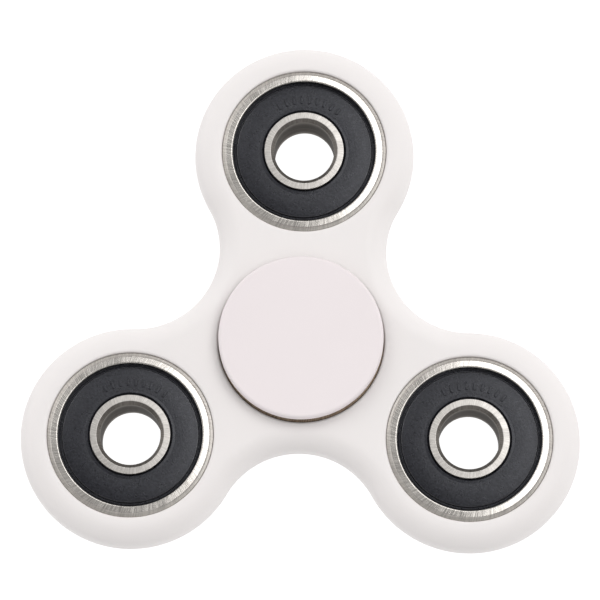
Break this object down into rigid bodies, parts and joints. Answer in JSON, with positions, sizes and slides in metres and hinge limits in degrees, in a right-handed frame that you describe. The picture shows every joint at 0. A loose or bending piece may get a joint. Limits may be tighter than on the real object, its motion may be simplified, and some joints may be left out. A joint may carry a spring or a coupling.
{
  "type": "fidget spinner",
  "caption": "Three-lobed hand spinner that turns on a centre ball bearing between two finger caps, with a weight bearing in each lobe.",
  "frame": {"origin": "on the spin axis, at the flat face of the lower finger cap that the spinner lies on", "axes": "+Z along the spin axis towards the upper cap, +Y towards one lobe, +X across the other two lobes"},
  "size_m": [0.074, 0.0681, 0.012],
  "materials": {
    "frame_plastic": "fine matte moulded",
    "cap_plastic": "fine matte moulded",
    "ring_steel": "ground faces, polished chamfers",
    "ball_steel": "polished bearing steel",
    "cage_steel": "pressed sheet",
    "rivet_steel": "plain",
    "seal_rubber": "satin moulded"
  },
  "bodies": {
    "hub": {"top_cap": "cap_plastic", "bottom_cap": "cap_plastic", "centre_inner_ring": "ring_steel"},
    "spinner_frame": {"frame": "frame_plastic", "centre_outer_ring": "ring_steel", "centre_top_seal": "seal_rubber", "centre_bottom_seal": "seal_rubber", "lobe_1_outer_ring": "ring_steel", "lobe_1_top_seal": "seal_rubber", "lobe_1_bottom_seal": "seal_rubber", "lobe_2_outer_ring": "ring_steel", "lobe_2_top_seal": "seal_rubber", "lobe_2_bottom_seal": "seal_rubber", "lobe_3_outer_ring": "ring_steel", "lobe_3_top_seal": "seal_rubber", "lobe_3_bottom_seal": "seal_rubber"},
    "centre_cage": {"centre_top_cage": "cage_steel", "centre_bottom_cage": "cage_steel", "centre_cage_rivets": "rivet_steel"},
    "centre_ball_1": {"centre_ball_1": "ball_steel"},
    "centre_ball_2": {"centre_ball_2": "ball_steel"},
    "centre_ball_3": {"centre_ball_3": "ball_steel"},
    "centre_ball_4": {"centre_ball_4": "ball_steel"},
    "centre_ball_5": {"centre_ball_5": "ball_steel"},
    "centre_ball_6": {"centre_ball_6": "ball_steel"},
    "centre_ball_7": {"centre_ball_7": "ball_steel"},
    "lobe_1_inner": {"lobe_1_inner_ring": "ring_steel"},
    "lobe_1_cage": {"lobe_1_top_cage": "cage_steel", "lobe_1_bottom_cage": "cage_steel", "lobe_1_cage_rivets": "rivet_steel"},
    "lobe_1_ball_1": {"lobe_1_ball_1": "ball_steel"},
    "lobe_1_ball_2": {"lobe_1_ball_2": "ball_steel"},
    "lobe_1_ball_3": {"lobe_1_ball_3": "ball_steel"},
    "lobe_1_ball_4": {"lobe_1_ball_4": "ball_steel"},
    "lobe_1_ball_5": {"lobe_1_ball_5": "ball_steel"},
    "lobe_1_ball_6": {"lobe_1_ball_6": "ball_steel"},
    "lobe_1_ball_7": {"lobe_1_ball_7": "ball_steel"},
    "lobe_2_inner": {"lobe_2_inner_ring": "ring_steel"},
    "lobe_2_cage": {"lobe_2_top_cage": "cage_steel", "lobe_2_bottom_cage": "cage_steel", "lobe_2_cage_rivets": "rivet_steel"},
    "lobe_2_ball_1": {"lobe_2_ball_1": "ball_steel"},
    "lobe_2_ball_2": {"lobe_2_ball_2": "ball_steel"},
    "lobe_2_ball_3": {"lobe_2_ball_3": "ball_steel"},
    "lobe_2_ball_4": {"lobe_2_ball_4": "ball_steel"},
    "lobe_2_ball_5": {"lobe_2_ball_5": "ball_steel"},
    "lobe_2_ball_6": {"lobe_2_ball_6": "ball_steel"},
    "lobe_2_ball_7": {"lobe_2_ball_7": "ball_steel"},
    "lobe_3_inner": {"lobe_3_inner_ring": "ring_steel"},
    "lobe_3_cage": {"lobe_3_top_cage": "cage_steel", "lobe_3_bottom_cage": "cage_steel", "lobe_3_cage_rivets": "rivet_steel"},
    "lobe_3_ball_1": {"lobe_3_ball_1": "ball_steel"},
    "lobe_3_ball_2": {"lobe_3_ball_2": "ball_steel"},
    "lobe_3_ball_3": {"lobe_3_ball_3": "ball_steel"},
    "lobe_3_ball_4": {"lobe_3_ball_4": "ball_steel"},
    "lobe_3_ball_5": {"lobe_3_ball_5": "ball_steel"},
    "lobe_3_ball_6": {"lobe_3_ball_6": "ball_steel"},
    "lobe_3_ball_7": {"lobe_3_ball_7": "ball_steel"}
  },
  "joints": [
    {"name": "spin", "type": "hinge", "parent": "hub", "child": "spinner_frame", "pos_m": [0, 0, 0.006], "axis": [0, 0, 1], "continuous": true},
    {"name": "centre_cage_turn", "type": "hinge", "parent": "hub", "child": "centre_cage", "pos_m": [0, 0, 0.006], "axis": [0, 0, 1], "continuous": true},
    {"name": "centre_ball_1_roll", "type": "hinge", "parent": "centre_cage", "child": "centre_ball_1", "pos_m": [0.0075, 0, 0.006], "axis": [0, 0, 1], "continuous": true},
    {"name": "centre_ball_2_roll", "type": "hinge", "parent": "centre_cage", "child": "centre_ball_2", "pos_m": [0.00468, 0.00586, 0.006], "axis": [0, 0, 1], "continuous": true},
    {"name": "centre_ball_3_roll", "type": "hinge", "parent": "centre_cage", "child": "centre_ball_3", "pos_m": [-0.00167, 0.00731, 0.006], "axis": [0, 0, 1], "continuous": true},
    {"name": "centre_ball_4_roll", "type": "hinge", "parent": "centre_cage", "child": "centre_ball_4", "pos_m": [-0.00676, 0.00325, 0.006], "axis": [0, 0, 1], "continuous": true},
    {"name": "centre_ball_5_roll", "type": "hinge", "parent": "centre_cage", "child": "centre_ball_5", "pos_m": [-0.00676, -0.00325, 0.006], "axis": [0, 0, 1], "continuous": true},
    {"name": "centre_ball_6_roll", "type": "hinge", "parent": "centre_cage", "child": "centre_ball_6", "pos_m": [-0.00167, -0.00731, 0.006], "axis": [0, 0, 1], "continuous": true},
    {"name": "centre_ball_7_roll", "type": "hinge", "parent": "centre_cage", "child": "centre_ball_7", "pos_m": [0.00468, -0.00586, 0.006], "axis": [0, 0, 1], "continuous": true},
    {"name": "lobe_1_inner_ring_spin", "type": "hinge", "parent": "spinner_frame", "child": "lobe_1_inner", "pos_m": [0, 0.0258, 0.006], "axis": [0, 0, 1], "continuous": true},
    {"name": "lobe_1_cage_turn", "type": "hinge", "parent": "spinner_frame", "child": "lobe_1_cage", "pos_m": [0, 0.0258, 0.006], "axis": [0, 0, 1], "continuous": true},
    {"name": "lobe_1_ball_1_roll", "type": "hinge", "parent": "lobe_1_cage", "child": "lobe_1_ball_1", "pos_m": [0.0075, 0.0258, 0.006], "axis": [0, 0, 1], "continuous": true},
    {"name": "lobe_1_ball_2_roll", "type": "hinge", "parent": "lobe_1_cage", "child": "lobe_1_ball_2", "pos_m": [0.00468, 0.03166, 0.006], "axis": [0, 0, 1], "continuous": true},
    {"name": "lobe_1_ball_3_roll", "type": "hinge", "parent": "lobe_1_cage", "child": "lobe_1_ball_3", "pos_m": [-0.00167, 0.03311, 0.006], "axis": [0, 0, 1], "continuous": true},
    {"name": "lobe_1_ball_4_roll", "type": "hinge", "parent": "lobe_1_cage", "child": "lobe_1_ball_4", "pos_m": [-0.00676, 0.02905, 0.006], "axis": [0, 0, 1], "continuous": true},
    {"name": "lobe_1_ball_5_roll", "type": "hinge", "parent": "lobe_1_cage", "child": "lobe_1_ball_5", "pos_m": [-0.00676, 0.02255, 0.006], "axis": [0, 0, 1], "continuous": true},
    {"name": "lobe_1_ball_6_roll", "type": "hinge", "parent": "lobe_1_cage", "child": "lobe_1_ball_6", "pos_m": [-0.00167, 0.01849, 0.006], "axis": [0, 0, 1], "continuous": true},
    {"name": "lobe_1_ball_7_roll", "type": "hinge", "parent": "lobe_1_cage", "child": "lobe_1_ball_7", "pos_m": [0.00468, 0.01994, 0.006], "axis": [0, 0, 1], "continuous": true},
    {"name": "lobe_2_inner_ring_spin", "type": "hinge", "parent": "spinner_frame", "child": "lobe_2_inner", "pos_m": [-0.02234, -0.0129, 0.006], "axis": [0, 0, 1], "continuous": true},
    {"name": "lobe_2_cage_turn", "type": "hinge", "parent": "spinner_frame", "child": "lobe_2_cage", "pos_m": [-0.02234, -0.0129, 0.006], "axis": [0, 0, 1], "continuous": true},
    {"name": "lobe_2_ball_1_roll", "type": "hinge", "parent": "lobe_2_cage", "child": "lobe_2_ball_1", "pos_m": [-0.01484, -0.0129, 0.006], "axis": [0, 0, 1], "continuous": true},
    {"name": "lobe_2_ball_2_roll", "type": "hinge", "parent": "lobe_2_cage", "child": "lobe_2_ball_2", "pos_m": [-0.01767, -0.00704, 0.006], "axis": [0, 0, 1], "continuous": true},
    {"name": "lobe_2_ball_3_roll", "type": "hinge", "parent": "lobe_2_cage", "child": "lobe_2_ball_3", "pos_m": [-0.02401, -0.00559, 0.006], "axis": [0, 0, 1], "continuous": true},
    {"name": "lobe_2_ball_4_roll", "type": "hinge", "parent": "lobe_2_cage", "child": "lobe_2_ball_4", "pos_m": [-0.0291, -0.00965, 0.006], "axis": [0, 0, 1], "continuous": true},
    {"name": "lobe_2_ball_5_roll", "type": "hinge", "parent": "lobe_2_cage", "child": "lobe_2_ball_5", "pos_m": [-0.0291, -0.01615, 0.006], "axis": [0, 0, 1], "continuous": true},
    {"name": "lobe_2_ball_6_roll", "type": "hinge", "parent": "lobe_2_cage", "child": "lobe_2_ball_6", "pos_m": [-0.02401, -0.02021, 0.006], "axis": [0, 0, 1], "continuous": true},
    {"name": "lobe_2_ball_7_roll", "type": "hinge", "parent": "lobe_2_cage", "child": "lobe_2_ball_7", "pos_m": [-0.01767, -0.01876, 0.006], "axis": [0, 0, 1], "continuous": true},
    {"name": "lobe_3_inner_ring_spin", "type": "hinge", "parent": "spinner_frame", "child": "lobe_3_inner", "pos_m": [0.02234, -0.0129, 0.006], "axis": [0, 0, 1], "continuous": true},
    {"name": "lobe_3_cage_turn", "type": "hinge", "parent": "spinner_frame", "child": "lobe_3_cage", "pos_m": [0.02234, -0.0129, 0.006], "axis": [0, 0, 1], "continuous": true},
    {"name": "lobe_3_ball_1_roll", "type": "hinge", "parent": "lobe_3_cage", "child": "lobe_3_ball_1", "pos_m": [0.02984, -0.0129, 0.006], "axis": [0, 0, 1], "continuous": true},
    {"name": "lobe_3_ball_2_roll", "type": "hinge", "parent": "lobe_3_cage", "child": "lobe_3_ball_2", "pos_m": [0.02702, -0.00704, 0.006], "axis": [0, 0, 1], "continuous": true},
    {"name": "lobe_3_ball_3_roll", "type": "hinge", "parent": "lobe_3_cage", "child": "lobe_3_ball_3", "pos_m": [0.02067, -0.00559, 0.006], "axis": [0, 0, 1], "continuous": true},
    {"name": "lobe_3_ball_4_roll", "type": "hinge", "parent": "lobe_3_cage", "child": "lobe_3_ball_4", "pos_m": [0.01559, -0.00965, 0.006], "axis": [0, 0, 1], "continuous": true},
    {"name": "lobe_3_ball_5_roll", "type": "hinge", "parent": "lobe_3_cage", "child": "lobe_3_ball_5", "pos_m": [0.01559, -0.01615, 0.006], "axis": [0, 0, 1], "continuous": true},
    {"name": "lobe_3_ball_6_roll", "type": "hinge", "parent": "lobe_3_cage", "child": "lobe_3_ball_6", "pos_m": [0.02067, -0.02021, 0.006], "axis": [0, 0, 1], "continuous": true},
    {"name": "lobe_3_ball_7_roll", "type": "hinge", "parent": "lobe_3_cage", "child": "lobe_3_ball_7", "pos_m": [0.02702, -0.01876, 0.006], "axis": [0, 0, 1], "continuous": true}
  ],
  "couplings": [
    {"joint": "centre_cage_turn", "follows": "spin", "ratio": 0.6323},
    {"joint": "centre_ball_1_roll", "follows": "spin", "ratio": 1.7573},
    {"joint": "centre_ball_2_roll", "follows": "spin", "ratio": 1.7573},
    {"joint": "centre_ball_3_roll", "follows": "spin", "ratio": 1.7573},
    {"joint": "centre_ball_4_roll", "follows": "spin", "ratio": 1.7573},
    {"joint": "centre_ball_5_roll", "follows": "spin", "ratio": 1.7573},
    {"joint": "centre_ball_6_roll", "follows": "spin", "ratio": 1.7573},
    {"joint": "centre_ball_7_roll", "follows": "spin", "ratio": 1.7573},
    {"joint": "lobe_1_cage_turn", "follows": "lobe_1_inner_ring_spin", "ratio": 0.3677},
    {"joint": "lobe_1_ball_1_roll", "follows": "lobe_1_inner_ring_spin", "ratio": -1.7573},
    {"joint": "lobe_1_ball_2_roll", "follows": "lobe_1_inner_ring_spin", "ratio": -1.7573},
    {"joint": "lobe_1_ball_3_roll", "follows": "lobe_1_inner_ring_spin", "ratio": -1.7573},
    {"joint": "lobe_1_ball_4_roll", "follows": "lobe_1_inner_ring_spin", "ratio": -1.7573},
    {"joint": "lobe_1_ball_5_roll", "follows": "lobe_1_inner_ring_spin", "ratio": -1.7573},
    {"joint": "lobe_1_ball_6_roll", "follows": "lobe_1_inner_ring_spin", "ratio": -1.7573},
    {"joint": "lobe_1_ball_7_roll", "follows": "lobe_1_inner_ring_spin", "ratio": -1.7573},
    {"joint": "lobe_2_cage_turn", "follows": "lobe_2_inner_ring_spin", "ratio": 0.3677},
    {"joint": "lobe_2_ball_1_roll", "follows": "lobe_2_inner_ring_spin", "ratio": -1.7573},
    {"joint": "lobe_2_ball_2_roll", "follows": "lobe_2_inner_ring_spin", "ratio": -1.7573},
    {"joint": "lobe_2_ball_3_roll", "follows": "lobe_2_inner_ring_spin", "ratio": -1.7573},
    {"joint": "lobe_2_ball_4_roll", "follows": "lobe_2_inner_ring_spin", "ratio": -1.7573},
    {"joint": "lobe_2_ball_5_roll", "follows": "lobe_2_inner_ring_spin", "ratio": -1.7573},
    {"joint": "lobe_2_ball_6_roll", "follows": "lobe_2_inner_ring_spin", "ratio": -1.7573},
    {"joint": "lobe_2_ball_7_roll", "follows": "lobe_2_inner_ring_spin", "ratio": -1.7573},
    {"joint": "lobe_3_cage_turn", "follows": "lobe_3_inner_ring_spin", "ratio": 0.3677},
    {"joint": "lobe_3_ball_1_roll", "follows": "lobe_3_inner_ring_spin", "ratio": -1.7573},
    {"joint": "lobe_3_ball_2_roll", "follows": "lobe_3_inner_ring_spin", "ratio": -1.7573},
    {"joint": "lobe_3_ball_3_roll", "follows": "lobe_3_inner_ring_spin", "ratio": -1.7573},
    {"joint": "lobe_3_ball_4_roll", "follows": "lobe_3_inner_ring_spin", "ratio": -1.7573},
    {"joint": "lobe_3_ball_5_roll", "follows": "lobe_3_inner_ring_spin", "ratio": -1.7573},
    {"joint": "lobe_3_ball_6_roll", "follows": "lobe_3_inner_ring_spin", "ratio": -1.7573},
    {"joint": "lobe_3_ball_7_roll", "follows": "lobe_3_inner_ring_spin", "ratio": -1.7573}
  ]
}
